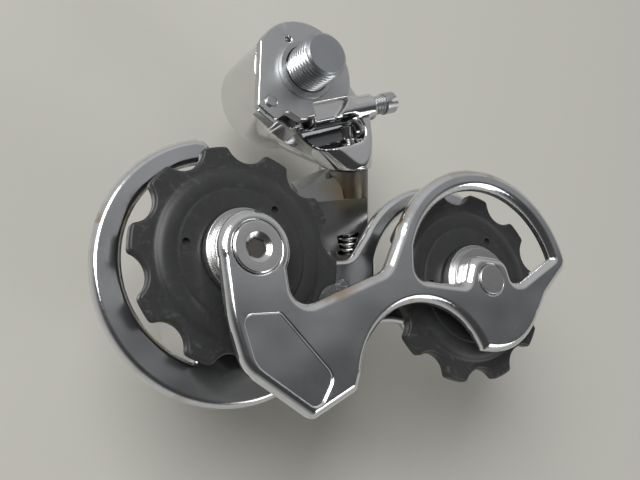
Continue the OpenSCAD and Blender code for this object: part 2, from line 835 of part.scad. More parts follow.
module inner_cage_plate() {
  pad_depth = 0.5;
  arch_at = [pulley_gap - 16.5, -22.4, 0];
  arch_r = 16;
  color(satin) at_guide() difference() {
    union() {
      hook_blank(inner_face, inner_top);
      translate([pulley_gap, 0, 0]) guard_blank(inner_face, inner_top);
    }
    translate(arch_at) rod(arch_r, inner_face - 1, inner_top + 1);
    translate([pulley_gap, 0, 0]) guard_window(inner_face, inner_top);
    slab(inner_top - pad_depth, inner_top + 1)
      polygon(rounded([[-2.4, -12.6, 1.5], [5, -11.6, 1], [16.2, -hook_drop + 7.4, 2.4],
        [13, -hook_drop + 1.3, 2], [0.6, -hook_drop + 8.6, 5]]));
    rod(pulley_bolt_d / 2 + 0.05, inner_face - 1, inner_top + 1);
    rod(guide_head_r + 0.1, inner_top - guide_head_sink, inner_top + 1);
    translate([pulley_gap, 0, 0]) rod(tension_nut_d / 2 + 0.05, inner_face - 1, inner_top + 1);
  }
}

// Open guard ring round the guide pulley, around the guide axis
module guard_ring(from, to) {
  ring_at = [0.7, -1.2, 0];
  hole_r = ring_r - ring_band - 1.4;
  tip_angle = 105;
  tip_at = hole_r + ring_band / 2;
  union() {
    difference() {
      translate(ring_at) rod(ring_r, from, to);
      rod(hole_r, from - 1, to + 1);
      slab(from - 1, to + 1) polygon(sector(60, -44, tip_angle));
    }
    translate(tip_at * [cos(tip_angle), sin(tip_angle), 0]) rod(ring_band / 2 - 0.15, from, to);
    slab(from, to) polygon(sector(hole_r + 2.6, 254, 312));
  }
}

module outer_cage_plate() {
  pivot_r = shaft_d / 2 + 5;
  crotch = [-guard_r - 1.6, 4.2];
  neck_top = touch(crotch, guard_r - 0.15);
  color(satin) at_guide() difference() {
    union() {
      guard_ring(outer_bottom, outer_face);
      rod(guide_boss_r + 0.8, outer_bottom, outer_face);
      translate([pivot_from_guide.x, pivot_from_guide.y, 0]) rod(pivot_r, outer_bottom, outer_face);
      slab(outer_bottom, outer_face) polygon(rounded([
        [0, 7.2, 0], [20, 3, 30], [pulley_gap + crotch.x, crotch.y, 4],
        [pulley_gap + neck_top.x, neck_top.y, 0],
        [pulley_gap - 10, 0, 0], [pulley_gap - 6, -11, 0], [pulley_gap - 14, -7, 14],
        [17, -17, 0], [0, -14, 0]]));
      translate([pulley_gap, 0, 0]) guard_blank(outer_bottom, outer_face);
    }
    translate([pulley_gap, 0, 0]) guard_window(outer_bottom, outer_face);
    rod(pulley_bolt_d / 2, outer_bottom - 1, outer_face + 1);
    translate([pulley_gap, 0, 0]) rod(pulley_bolt_d / 2, outer_bottom - 1, outer_face + 1);
    translate([pivot_from_guide.x, pivot_from_guide.y, 0]) rod(shaft_d / 2, outer_bottom - 1, outer_face + 1);
    translate([stop_screw_at.x, stop_screw_at.y, 0]) rod(stop_screw_d / 2, outer_bottom - 1, outer_face + 1);
  }
}

// Headless screw with a slot in its inner end
module cage_stop_screw() {
  proud = 0.5;
  slot_w = 0.7;
  color(zinc) at_guide() translate([stop_screw_at.x, stop_screw_at.y, 0]) difference() {
    rod(stop_screw_d / 2 - 0.01, outer_bottom - 3.4, outer_face + proud);
    translate([-2, -slot_w / 2, outer_face + proud - 0.9]) cube([4, slot_w, 2]);
  }
}

module guide_bolt() {
  head_h = guide_head_sink + 0.4;
  head_from = inner_top - guide_head_sink;
  color(zinc) at_guide() difference() {
    union() {
      rod(pulley_bolt_d / 2 - 0.02, outer_bottom + 0.2, head_from);
      rod(guide_head_r, head_from, head_from + head_h);
    }
    translate([0, 0, head_from + head_h - 0.6])
      cylinder(r1 = guide_head_r - 2.2, r2 = guide_head_r - 0.7, h = 0.61);
    hex(pulley_bolt_d * 0.8, head_from - 2, head_from + head_h);
  }
}

module tension_bolt() {
  head_h = pulley_bolt_d * 0.44;
  color(zinc) at_tension() difference() {
    union() {
      rod(pulley_bolt_d / 2 - 0.02, outer_bottom, inner_face - 0.2);
      rod(pulley_bolt_d * 0.88, outer_bottom - head_h, outer_bottom);
      rod(tension_end_d / 2, inner_face - 0.3, inner_top - 0.8);
    }
    hex(pulley_bolt_d * 0.8, outer_bottom - head_h - 1, outer_bottom - 0.4);
  }
}

module tension_nut() {
  proud = 0.4;
  color(zinc) at_tension() difference() {
    rod(tension_nut_d / 2, inner_face, inner_top + proud);
    rod(tension_end_d / 2 + 0.02, inner_face - 1, inner_top - 0.7);
  }
}

// Pulley pieces, around their axis in the pulley plane

module pulley(phase) {
  band_r = 16;
  rim_r = 12.6;
  step = 0.5;
  pin_hole_at = 11.7;
  color(plastic) difference() {
    union() {
      difference() {
        rod(tip_r, -tooth_w / 2, tooth_w / 2);
        for (i = [0:teeth - 1]) rotate(phase + 360 * (i + 0.5) / teeth)
          translate([pocket_at, 0, 0]) rod(pocket_r, -tooth_w, tooth_w);
      }
      rod(band_r, -hub_w / 2 + step, hub_w / 2 - step);
      rod(rim_r, -hub_w / 2, hub_w / 2);
    }
    rod(bearing_d / 2, -hub_w, hub_w);
    for (i = [0:2])
      rotate(phase + 58 + 120 * i) translate([pin_hole_at - 0.4, 0, 0]) rod(0.8, hub_w / 2 - 1, hub_w);
  }
}

module outer_race() {
  wall = 1.5;
  color(steel) difference() {
    tube(bearing_d / 2 - 0.01, bearing_d / 2 - wall, -bearing_w / 2 + 0.05, bearing_w / 2 - 0.05);
    rotate_extrude() translate([ball_ring_r, 0]) circle(r = race_groove_r);
  }
}

module inner_race() {
  color(steel) difference() {
    tube(inner_race_r, pulley_bolt_d / 2, -bearing_w / 2, bearing_w / 2);
    rotate_extrude() translate([ball_ring_r, 0]) circle(r = race_groove_r);
  }
}

module balls() {
  color(steel) for (i = [0:ball_count - 1]) rotate(360 * i / ball_count)
    translate([ball_ring_r, 0, 0]) sphere(r = ball_r, $fn = 24);
}

// Dust cap that spaces the bearing from a cage plate; side is 1 inwards and -1 outwards
module dust_cap(side) {
  skirt_from = bearing_w / 2 + side_fit;
  skirt_to = skirt_from + 1.8;
  color(satin) rotate([side > 0 ? 0 : 180, 0, 0]) difference() {
    union() {
      rod(cap_d / 2, skirt_from, skirt_to);
      rod(cap_d / 2 - 0.9, skirt_from, cage_gap / 2);
      rod(inner_race_r, bearing_w / 2, cage_gap / 2);
    }
    rod(pulley_bolt_d / 2, 0, cage_gap);
  }
}

module in_guide() {
  at_guide() translate([0, 0, pulley_z]) children();
}

module in_tension() {
  at_tension() translate([0, 0, pulley_z]) children();
}

module guide_inner_race() { in_guide() inner_race(); }
module guide_inner_cap() { in_guide() dust_cap(1); }
module guide_outer_cap() { in_guide() dust_cap(-1); }
module tension_inner_race() { in_tension() inner_race(); }
module tension_inner_cap() { in_tension() dust_cap(1); }
module tension_outer_cap() { in_tension() dust_cap(-1); }
module guide_pulley() { in_guide() pulley(guide_phase); }
module guide_outer_race() { in_guide() outer_race(); }
module guide_balls() { in_guide() balls(); }
module tension_pulley() { in_tension() pulley(tension_phase); }
module tension_outer_race() { in_tension() outer_race(); }
module tension_balls() { in_tension() balls(); }

mounting_bolt();
hanger_washer();
stop_plate();
stop_pin();
upper_knuckle();
barrel_bush();
barrel_spring();
barrel_cap();
upper_inner_pin();
upper_outer_pin();
angle_screw();
high_limit_screw();
low_limit_screw();
cable_adjuster();
inner_link();
return_spring();
outer_link();
cable_anchor_bolt();
cable_washer();
lower_knuckle();
lower_inner_pin();
lower_outer_pin();
pivot_bush();
cage_spring();
pivot_shaft();
pivot_cap();
outer_cage_plate();
inner_cage_plate();
cage_stop_screw();
guide_bolt();
tension_bolt();
tension_nut();
guide_inner_race();
guide_inner_cap();
guide_outer_cap();
tension_inner_race();
tension_inner_cap();
tension_outer_cap();
guide_pulley();
guide_outer_race();
guide_balls();
tension_pulley();
tension_outer_race();
tension_balls();
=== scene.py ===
"""Rear bicycle derailleur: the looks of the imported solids, under soft studio light."""
import json
import math

import bmesh
import bpy
import numpy as np
from mathutils import Matrix, Vector
from mathutils.geometry import delaunay_2d_cdt

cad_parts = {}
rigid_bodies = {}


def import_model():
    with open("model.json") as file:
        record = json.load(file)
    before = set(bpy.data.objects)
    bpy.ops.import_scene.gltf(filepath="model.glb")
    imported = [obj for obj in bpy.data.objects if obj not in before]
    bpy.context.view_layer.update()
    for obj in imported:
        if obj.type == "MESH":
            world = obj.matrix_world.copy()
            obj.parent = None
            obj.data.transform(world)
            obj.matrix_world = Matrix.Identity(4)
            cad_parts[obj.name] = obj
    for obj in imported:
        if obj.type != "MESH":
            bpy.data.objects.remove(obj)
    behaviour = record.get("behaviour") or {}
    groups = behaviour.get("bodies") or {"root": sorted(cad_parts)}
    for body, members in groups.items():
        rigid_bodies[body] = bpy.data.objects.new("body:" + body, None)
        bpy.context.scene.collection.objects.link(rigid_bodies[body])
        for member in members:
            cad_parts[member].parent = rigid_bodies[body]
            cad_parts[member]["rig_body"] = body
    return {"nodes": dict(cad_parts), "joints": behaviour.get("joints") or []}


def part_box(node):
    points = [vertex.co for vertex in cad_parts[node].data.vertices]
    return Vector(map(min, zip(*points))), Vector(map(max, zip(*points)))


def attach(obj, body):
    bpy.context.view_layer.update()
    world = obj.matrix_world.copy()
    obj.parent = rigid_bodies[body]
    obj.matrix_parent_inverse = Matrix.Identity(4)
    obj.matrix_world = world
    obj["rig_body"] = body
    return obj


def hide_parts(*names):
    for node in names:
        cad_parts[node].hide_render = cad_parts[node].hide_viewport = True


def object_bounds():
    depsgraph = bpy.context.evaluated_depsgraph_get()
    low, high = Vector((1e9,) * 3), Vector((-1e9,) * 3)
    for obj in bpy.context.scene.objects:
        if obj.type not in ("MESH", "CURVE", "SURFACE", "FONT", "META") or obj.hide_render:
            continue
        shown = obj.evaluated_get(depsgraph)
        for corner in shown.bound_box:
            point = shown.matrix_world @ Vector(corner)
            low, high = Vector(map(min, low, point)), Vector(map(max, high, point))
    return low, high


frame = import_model()
cad_low, cad_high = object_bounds()

MM = 0.001
JOINT_AT = {joint["name"]: Vector(joint["pos_m"]) for joint in frame["joints"]}
AXIS = {joint["name"]: Vector(joint["axis"]) for joint in frame["joints"]}
GUIDE = JOINT_AT["guide_spin"]
TENSION = JOINT_AT["tension_spin"]


# Node trees

def grey(level, warm=0.0):
    return (level * (1 + warm), level, level * (1 - warm), 1)


class Sock:
    """An output socket that takes part in sums: each operator adds a Math node."""

    def __init__(self, graph, out):
        self.graph = graph
        self.out = out

    def sum(self, operation, other):
        return self.graph.node("ShaderNodeMath", {"operation": operation}, {0: self, 1: other})

    def __add__(self, other):
        return self.sum("ADD", other)

    def __mul__(self, other):
        return self.sum("MULTIPLY", other)

    __radd__ = __add__
    __rmul__ = __mul__


class Graph:
    """A node tree, filled node by node."""

    def __init__(self, tree):
        self.tree = tree

    def node(self, kind, settings=None, inputs=None, output=0):
        """Adds a node with its inputs linked or set, and gives back one of its outputs."""
        made = self.tree.nodes.new(kind)
        for key, value in (settings or {}).items():
            if key == "stops":
                steps = made.color_ramp.elements
                while len(steps) < len(value):
                    steps.new(0.5)
                for step, (at, colour) in zip(steps, value):
                    step.position = at
                    step.color = colour
            else:
                setattr(made, key, value)
        for key, value in (inputs or {}).items():
            if isinstance(value, Sock):
                self.tree.links.new(value.out, made.inputs[key])
            else:
                made.inputs[key].default_value = value
        return Sock(self, made.outputs[output])

    def vector(self, operation, inputs, output=0):
        return self.node("ShaderNodeVectorMath", {"operation": operation}, inputs, output)

    def ramp(self, value, *stops):
        """A ramp of greys, or of the colours given."""
        colours = [(at, level if isinstance(level, tuple) else grey(level)) for at, level in stops]
        return self.node("ShaderNodeValToRGB", {"stops": colours}, {0: value})

    def mix(self, share, a, b):
        return self.node("ShaderNodeMix", {"data_type": "RGBA"}, {0: share, 6: a, 7: b}, 2)


class Finish(Graph):
    """A procedural material on Object coordinates."""

    def __init__(self, name):
        self.material = bpy.data.materials.new(name)
        self.material.use_nodes = True
        super().__init__(self.material.node_tree)
        self.shader = self.tree.nodes["Principled BSDF"]
        self.place = self.node("ShaderNodeTexCoord", output="Object")

    def at(self, centre=(0, 0, 0), turn=(0, 0, 0), stretch=(1, 1, 1)):
        """Object coordinates about a centre, turned and then stretched."""
        moved = self.vector("SUBTRACT", {0: self.place, 1: tuple(centre)})
        return self.node("ShaderNodeMapping", None,
                         {"Vector": moved, "Rotation": turn, "Scale": stretch})

    def noise(self, where, per_metre, detail=3.0, rough=0.55, warp=0.0):
        return self.node("ShaderNodeTexNoise", None,
                         {"Vector": where, "Scale": per_metre, "Detail": detail,
                          "Roughness": rough, "Distortion": warp})

    def radius(self, centre):
        """Distance from the axis along Z through a centre."""
        return self.vector("LENGTH", {0: self.at(centre, stretch=(1, 1, 0))}, "Value")

    def rings(self, radius, per_metre, detail, rough):
        """Noise that changes with the radius only."""
        along = self.node("ShaderNodeCombineXYZ", None, {0: radius * per_metre})
        return self.noise(along, 1.0, detail, rough)

    def bump(self, height, strength, distance, under=None):
        inputs = {"Height": height, "Strength": strength, "Distance": distance}
        if under is not None:
            inputs["Normal"] = under
        return self.node("ShaderNodeBump", None, inputs)

    def set(self, **sockets):
        for key, value in sockets.items():
            name = key.replace("_", " ")
            if isinstance(value, Sock):
                self.tree.links.new(value.out, self.shader.inputs[name])
            else:
                self.shader.inputs[name].default_value = value
        return self.material


# Finishes

OLD_OIL = (0.17, 0.125, 0.035, 1)
LACQUER = (0.42, 0.25, 0.06, 1)
PITTING = grey(0.16, 0.25)
# A dark reflection painted into the colour of the upper knuckle's hollow
PAINTED_DARK_REFLECTION = grey(0.10, -0.04)


def scratches(finish, turn, fine, share):
    """Thin hairlines along one direction: a mask that is 1 in each line."""
    where = finish.at(turn=(0, 0, turn), stretch=(fine, fine * 0.02, fine))
    lines = finish.noise(where, 1.0, 2.0, 0.5)
    return finish.ramp(lines, (share, 0.0), (share + 0.06, 1.0))


def painted_reflection_in_hollow(finish, start, along, reach):
    """Where a dark reflection is painted: a mask that grows with the depth in a round-bottomed hollow, given
    by its axis and radius.
    """
    out = finish.at(start, stretch=(1 / reach, 1 / reach, 1 / reach))
    away = finish.vector("LENGTH", {0: finish.vector("CROSS_PRODUCT", {0: out, 1: along})}, "Value")
    depth = -1.0 * finish.node("ShaderNodeSeparateXYZ", None, {0: out}, "Z")
    near = finish.ramp(away * 0.5, (0.54, 1.0), (0.60, 0.0))
    return near * finish.ramp(depth, (0.32, 0.0), (0.66, 0.9))


def metal(name, colour, tarnish, rough, smear, grain_turn=0.0, grain=0.0, spots=0.0, stain=None,
          amber=0.0, wave=0.0, hollow=None):
    """Bare metal: soft tarnish patches, smeared roughness, hairlines and a directional grain.
    stain is the middle and the reach of a patch of old oil, amber the strength of scattered
    lacquer stains, wave the height of the slow unevenness that polishing leaves, and hollow
    the axis and the radius of a hollow whose colour is darkened as a painted dark reflection."""
    f = Finish(name)
    cloud = f.noise(f.place, 120, 4.0, 0.6, 0.6)
    fine = f.noise(f.place, 900, 3.0, 0.6)
    worn = f.ramp(cloud, (0.35, 0.0), (0.75, 1.0))
    line = scratches(f, grain_turn + 0.5, 5200, 0.70)
    cross = scratches(f, grain_turn - 0.7, 3800, 0.72)
    marks = line.sum("MAXIMUM", cross)
    base = f.mix(worn * 0.55 + fine * 0.25, colour, tarnish)
    if spots:
        dots = f.noise(f.place, 420, 2.0, 0.5)
        base = f.mix(f.ramp(dots, (0.66, 0.0), (0.76, spots)), base, PITTING)
    if stain:
        middle, reach = stain
        away = f.vector("DISTANCE", {0: f.place, 1: middle}, "Value")
        oily = f.ramp(away * (0.5 / reach) + cloud * 0.5, (0.30, 1.0), (0.62, 0.0))
        base = f.mix(oily * 0.7, base, OLD_OIL)
    if amber:
        patches = f.noise(f.place, 75, 2.0, 0.5, 0.8)
        base = f.mix(f.ramp(patches, (0.60, 0.0), (0.72, amber)), base, LACQUER)
    # Painted dark reflection: the metal darkens towards the hollow's depth
    if hollow:
        base = f.mix(painted_reflection_in_hollow(f, *hollow), base, PAINTED_DARK_REFLECTION)
    drawn = f.noise(f.at(turn=(0, 0, grain_turn), stretch=(6000, 160, 6000)), 1.0, 3.0, 0.6)
    height = drawn * grain + marks * 0.07 + fine * 0.08
    slow = f.bump(f.noise(f.place, 55, 1.0, 0.4), 1.0, wave) if wave else None
    return f.set(
        Base_Color=base,
        Metallic=1.0,
        Roughness=worn * smear + fine * smear + marks * 0.05 + rough,
        Normal=f.bump(height, 0.35, 0.00004, slow),
    )


def turned(name, colour, tarnish, rough, centre):
    """Metal off a lathe: rings about its own axis."""
    f = Finish(name)
    rings = f.rings(f.radius(centre), 9000, 3.0, 0.7)
    cloud = f.noise(f.place, 160, 4.0, 0.6, 0.4)
    fine = f.noise(f.place, 1100, 2.0, 0.5)
    worn = f.ramp(cloud, (0.4, 0.0), (0.75, 1.0))
    return f.set(
        Base_Color=f.mix(worn * 0.5 + fine * 0.2, colour, tarnish),
        Metallic=1.0,
        Roughness=rings * 0.10 + worn * 0.08 + fine * 0.05 + rough,
        Normal=f.bump(rings + fine * 0.2, 0.25, 0.00003),
    )


def moulded(name, centre):
    """Dark grey moulded plastic, scuffed pale where the chain and hands rub it."""
    f = Finish(name)
    radius = f.radius(centre)
    cloud = f.noise(f.place, 190, 5.0, 0.62, 0.5)
    fine = f.noise(f.place, 1500, 3.0, 0.6)
    rub = f.ramp(f.noise(f.place, 520, 3.0, 0.7, 1.2), (0.56, 0.0), (0.72, 1.0))
    outer = f.ramp(radius * (1 / 0.0215), (0.70, 0.0), (1.0, 1.0))
    dust = f.mix(cloud * 0.6 + fine * 0.3, grey(0.022, -0.03), grey(0.048, -0.01))
    scuffed = f.mix(rub * (outer * 0.30 + 0.08), dust, grey(0.19, 0.02))
    turning = f.rings(radius, 5200, 2.0, 0.6)
    return f.set(
        Base_Color=scuffed,
        Roughness=cloud * 0.16 + fine * 0.10 + rub * 0.08 + 0.24,
        Normal=f.bump(fine * 0.5 + turning * 0.25 + cloud * 0.4, 0.30, 0.00006),
        Specular_IOR_Level=0.4,
    )


# A patch of old oil on the inner link, and the hollow in the upper knuckle's arm where a dark reflection is
# painted
OIL_PATCH = (Vector((14, -23, -7)) * MM, 9 * MM)
ARM_HOLLOW = (Vector((4.66, -13.25, -2.2)) * MM, AXIS["angle_screw_turn"], 3.4 * MM)

SATIN = metal("satin_plate", grey(0.68, -0.02), grey(0.56, -0.015), rough=0.14, smear=0.08,
              grain_turn=0.45, grain=0.16, wave=0.0008)
EDGE = metal("polished_edge", grey(0.84, -0.005), grey(0.72), rough=0.09, smear=0.06,
             grain_turn=0.2, grain=0.04, amber=0.55)
PLATED = metal("plated_stop", grey(0.60, -0.01), grey(0.50, -0.005), rough=0.34, smear=0.10,
               grain_turn=0.2, grain=0.06, spots=0.15)
BARREL = metal("polished_barrel", grey(0.80), grey(0.70, 0.01), rough=0.05, smear=0.05,
               grain_turn=0.3, grain=0.03)
# The polished knuckle, with a dark reflection painted into its arm's hollow
KNUCKLE = metal("polished_knuckle", grey(0.80), grey(0.70, 0.01), rough=0.05, smear=0.05,
                grain_turn=0.3, grain=0.03, hollow=ARM_HOLLOW)
SHELF = metal("machined_shelf", grey(0.74, -0.02), grey(0.60), rough=0.16, smear=0.08,
              grain_turn=0.9, grain=0.10)
CAST = metal("cast_link", grey(0.24, -0.01), grey(0.17, 0.03), rough=0.30, smear=0.10,
             grain_turn=0.9, grain=0.25, spots=0.5, stain=OIL_PATCH)
ZINC = metal("zinc_plating", grey(0.60, -0.02), grey(0.44, -0.01), rough=0.22, smear=0.12,
             grain_turn=0.2, grain=0.10, spots=0.35)
STEEL = metal("bright_steel", grey(0.64, -0.01), grey(0.50, 0.02), rough=0.14, smear=0.10,
              grain_turn=0.1, grain=0.10)
WIRE = metal("spring_wire", grey(0.66, -0.005), grey(0.46, 0.03), rough=0.16, smear=0.10, grain=0.20)
BRASS = metal("bearing_brass", (0.72, 0.56, 0.28, 1), (0.48, 0.34, 0.15, 1), rough=0.22, smear=0.12,
              grain_turn=0.3, grain=0.15)
GUIDE_CAP = turned("guide_cap_metal", grey(0.66), grey(0.52, 0.01), 0.17, GUIDE)
TENSION_CAP = turned("tension_cap_metal", grey(0.66), grey(0.52, 0.01), 0.17, TENSION)
GUIDE_BOLT = turned("guide_bolt_metal", grey(0.76), grey(0.66, 0.02), 0.07, GUIDE)
# Painted shade: dark metal for the inside of the guide bolt's socket and of the sight bore
PAINTED_SOCKET_SHADE = turned("socket_shade", grey(0.20, 0.05), grey(0.12, 0.10), 0.30, GUIDE)
TENSION_BOLT = turned("tension_bolt_metal", grey(0.70), grey(0.52, 0.02), 0.16, TENSION)
BOLT = turned("mounting_bolt_metal", grey(0.50, -0.04), grey(0.36, -0.01), 0.20, (0, 0, 0))
GUIDE_PLASTIC = moulded("guide_pulley_plastic", GUIDE)
TENSION_PLASTIC = moulded("tension_pulley_plastic", TENSION)


# Modelling by hand

# Points closer than this are one, faces this flat are one, and edges this sharp are eased
MERGE = 0.002 * MM
FLAT = math.radians(0.1)
SHARP = math.radians(30)


def only(piece):
    """Makes one object the only one selected, and the active one."""
    bpy.ops.object.select_all(action="DESELECT")
    piece.select_set(True)
    bpy.context.view_layer.objects.active = piece


def edit(piece):
    only(piece)
    bpy.ops.object.mode_set(mode="EDIT")


def done():
    bpy.ops.object.mode_set(mode="OBJECT")


def copy_of(node, whole=True):
    """A merged copy of a solid's mesh, with its flat faces made whole if asked."""
    source = frame["nodes"][node]
    piece = bpy.data.objects.new(node + "_look", source.data.copy())
    bpy.context.scene.collection.objects.link(piece)
    only(piece)
    bpy.ops.mesh.customdata_custom_splitnormals_clear()
    edit(piece)
    bpy.ops.mesh.select_all(action="SELECT")
    bpy.ops.mesh.remove_doubles(threshold=MERGE)
    bpy.ops.mesh.mark_sharp(clear=True)
    if whole:
        bpy.ops.mesh.dissolve_limited(angle_limit=FLAT)
    done()
    return piece


def round_edges(piece, width, segments=2):
    """Eases every sharp edge of a piece."""
    edit(piece)
    bpy.ops.mesh.select_mode(type="EDGE")
    bpy.ops.mesh.select_all(action="DESELECT")
    shape = bmesh.from_edit_mesh(piece.data)
    sharp = [edge for edge in shape.edges
             if len(edge.link_faces) == 2 and edge.calc_face_angle() > SHARP]
    for edge in sharp:
        edge.select_set(True)
    bmesh.update_edit_mesh(piece.data)
    if sharp:
        bpy.ops.mesh.bevel(offset_type="OFFSET", offset=width, segments=segments, profile=0.5,
                           affect="EDGES", clamp_overlap=True)
    done()


def add_modifier(piece, kind, **settings):
    made = piece.modifiers.new(kind.lower(), kind)
    for key, value in settings.items():
        setattr(made, key, value)


def apply_all(piece):
    only(piece)
    for made in list(piece.modifiers):
        bpy.ops.object.modifier_apply(modifier=made.name)


def smooth(piece, angle=35):
    """Smooth shading up to an angle, with the flat faces kept flat."""
    only(piece)
    bpy.ops.object.shade_smooth_by_angle(angle=math.radians(angle))
    add_modifier(piece, "WEIGHTED_NORMAL", mode="FACE_AREA", keep_sharp=True)
    apply_all(piece)


def drilled(piece, drill):
    """Cuts a drill out of a piece and takes the drill away."""
    add_modifier(piece, "BOOLEAN", operation="DIFFERENCE", solver="EXACT", object=drill)
    apply_all(piece)
    bpy.data.objects.remove(drill)


def set_finish(piece, *finishes):
    piece.data.materials.clear()
    for finish in finishes:
        piece.data.materials.append(finish)


def stand_for(piece, node):
    """The piece rides where its solid rides and stands for it, with the solid hidden."""
    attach(piece, frame["nodes"][node]["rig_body"])
    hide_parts(node)
    return piece


def dressed(node, finish, width, segments=2):
    """A solid with its sharp edges eased by a width in mm."""
    piece = copy_of(node)
    set_finish(piece, finish)
    if width:
        round_edges(piece, width * MM, segments)
    smooth(piece)
    return stand_for(piece, node)


def wound(node, finish, grow=0.05):
    """A spring drawn round from its coarse tube, and thickened by what that takes off."""
    piece = copy_of(node)
    set_finish(piece, finish)
    add_modifier(piece, "SUBSURF", levels=2, render_levels=2)
    apply_all(piece)
    edit(piece)
    bpy.ops.mesh.select_all(action="SELECT")
    bpy.ops.transform.shrink_fatten(value=grow * MM)
    done()
    smooth(piece, 60)
    return stand_for(piece, node)


def fused(node, finish, crisp=None, voxel=0.3, rounds=8):
    """A casting whose faces run into each other: the solid remeshed finely and smoothed.
    The points that crisp(point) accepts are left out of the smoothing."""
    piece = copy_of(node)
    add_modifier(piece, "REMESH", mode="VOXEL", voxel_size=voxel * MM, adaptivity=0.0)
    apply_all(piece)
    moving = [vertex.index for vertex in piece.data.vertices if not (crisp and crisp(vertex.co))]
    piece.vertex_groups.new(name="eased").add(moving, 1.0, "REPLACE")
    add_modifier(piece, "SMOOTH", factor=0.5, iterations=rounds, vertex_group="eased")
    apply_all(piece)
    set_finish(piece, finish)
    only(piece)
    bpy.ops.object.shade_smooth()
    return stand_for(piece, node)


def drawn_up(sides, rows, place):
    """A ring drawn up row by row into a skin, each point then put where place(row, k) says."""
    bpy.ops.object.select_all(action="DESELECT")
    bpy.ops.mesh.primitive_circle_add(vertices=sides, radius=1)
    piece = bpy.context.object
    bpy.ops.object.mode_set(mode="EDIT")
    bpy.ops.mesh.select_mode(type="EDGE")
    bpy.ops.mesh.select_all(action="SELECT")
    for _ in range(rows - 1):
        bpy.ops.mesh.extrude_region_move(TRANSFORM_OT_translate={"value": (0, 0, 1)})
    done()
    for vertex in piece.data.vertices:
        k = round(math.atan2(vertex.co.y, vertex.co.x) / math.tau * sides) % sides
        vertex.co = place(round(vertex.co.z), k)
    return piece


def thread(radius, length, pitch, depth, chamfer, sides, rows=8):
    """A threaded rod along +Z from the origin: a ring drawn up row by row, then cut to a helix."""
    bpy.ops.object.select_all(action="DESELECT")
    bpy.ops.mesh.primitive_circle_add(vertices=sides, radius=radius, fill_type="NGON")
    rod = bpy.context.object
    bpy.ops.object.mode_set(mode="EDIT")
    bpy.ops.mesh.select_all(action="SELECT")
    steps = max(2, round(length / pitch * rows))
    for _ in range(steps):
        bpy.ops.mesh.extrude_region_move(TRANSFORM_OT_translate={"value": (0, 0, length / steps)})
    done()
    for vertex in rod.data.vertices:
        x, y, z = vertex.co
        reach = math.hypot(x, y)
        if reach < radius * 0.5:
            continue
        share = (z / pitch - math.atan2(y, x) / math.tau) % 1.0
        groove = depth * max(0.0, 1.0 - abs(share - 0.5) * 2.6)
        fade = max(0.0, chamfer - (length - z))
        wanted = radius - max(groove, fade)
        vertex.co = (x * wanted / reach, y * wanted / reach, z)
    return rod


def cut_above(piece, z):
    """Removes what lies above a height and closes the cut."""
    edit(piece)
    bpy.ops.mesh.select_all(action="SELECT")
    bpy.ops.mesh.bisect(plane_co=(0, 0, z), plane_no=(0, 0, 1), use_fill=True, clear_outer=True)
    done()


def joined(piece, other):
    only(piece)
    other.select_set(True)
    bpy.ops.object.join()


def placed(piece, at, along):
    """Puts a piece that was made along +Z at a point, along a direction."""
    turn = Vector(along).normalized().to_track_quat("Z", "Y").to_matrix().to_4x4()
    piece.data.transform(Matrix.Translation(at) @ turn)
    return piece


# Bolts, knuckle and link

# Easing of the edges of screws and bolts
SCREW_EASE = 0.15 * MM

# Start and length of the angle screw's thread, from the joint's place
ANGLE_THREAD_FROM, ANGLE_THREAD_LEN = -1.75 * MM, 3.3 * MM

# Radius of the sight bore, and its ends along the inner pin from the joint's place
SIGHT_BORE_R = 1.5 * MM
SIGHT_BORE_ENDS = (10.6 * MM, 19.8 * MM)

# The upper knuckle beside the stop plate: the ledge round the plate and the room where the plate's
# lug sweeps, each from an angle to an angle in degrees round the bolt, with a reach and a height
LEDGE_TURN, LEDGE_REACH, LEDGE_Z = (-66, 4), 12.4 * MM, -4.2 * MM
LUG_TURN, LUG_REACH, LUG_Z = (-128, -62), 4.5 * MM, -6.8 * MM

# The guide bolt's head in mm: its height, the width across its socket, and where the socket's shade starts
GUIDE_HEAD_H = 1.2
GUIDE_SOCKET_W = 3.4
SHADE_R, SHADE_DEPTH = 2.1, 0.7

# The inner link's eye along its pin from the joint's place, and the heights of its shelf beyond the eye
EYE_RISE, EYE_R = 7 * MM, 4 * MM
SHELF_LOW, SHELF_HIGH = -1 * MM, 3.1 * MM


def mounting_bolt():
    """The bolt with its thread cut."""
    piece = copy_of("mounting_bolt")
    cut_above(piece, 0.05 * MM)
    round_edges(piece, SCREW_EASE)
    rod = thread(radius=5 * MM, length=8.3 * MM, pitch=1.0 * MM, depth=0.5 * MM, chamfer=0.9 * MM, sides=72)
    joined(piece, placed(rod, Vector((0, 0, -0.3 * MM)), (0, 0, 1)))
    set_finish(piece, BOLT)
    smooth(piece, 32)
    stand_for(piece, "mounting_bolt")


def angle_screw():
    """The slotted screw with its thread showing between the boss and the head."""
    piece = copy_of("angle_screw")
    round_edges(piece, SCREW_EASE)
    rod = thread(radius=2.1 * MM, length=ANGLE_THREAD_LEN, pitch=0.8 * MM, depth=0.45 * MM, chamfer=0.0,
                 sides=48)
    along = AXIS["angle_screw_turn"]
    joined(piece, placed(rod, JOINT_AT["angle_screw_turn"] + along * ANGLE_THREAD_FROM, along))
    set_finish(piece, ZINC)
    smooth(piece, 32)
    stand_for(piece, "angle_screw")


def by_stop_plate(point):
    """Whether a point of the upper knuckle lies on the ledge or where the stop plate's lug sweeps."""
    turn = math.degrees(math.atan2(point.y, point.x))
    reach = point.xy.length
    on_ledge = LEDGE_TURN[0] < turn < LEDGE_TURN[1] and reach < LEDGE_REACH and point.z > LEDGE_Z
    in_lug_room = LUG_TURN[0] < turn < LUG_TURN[1] and reach > LUG_REACH and point.z > LUG_Z
    return on_ledge or in_lug_room


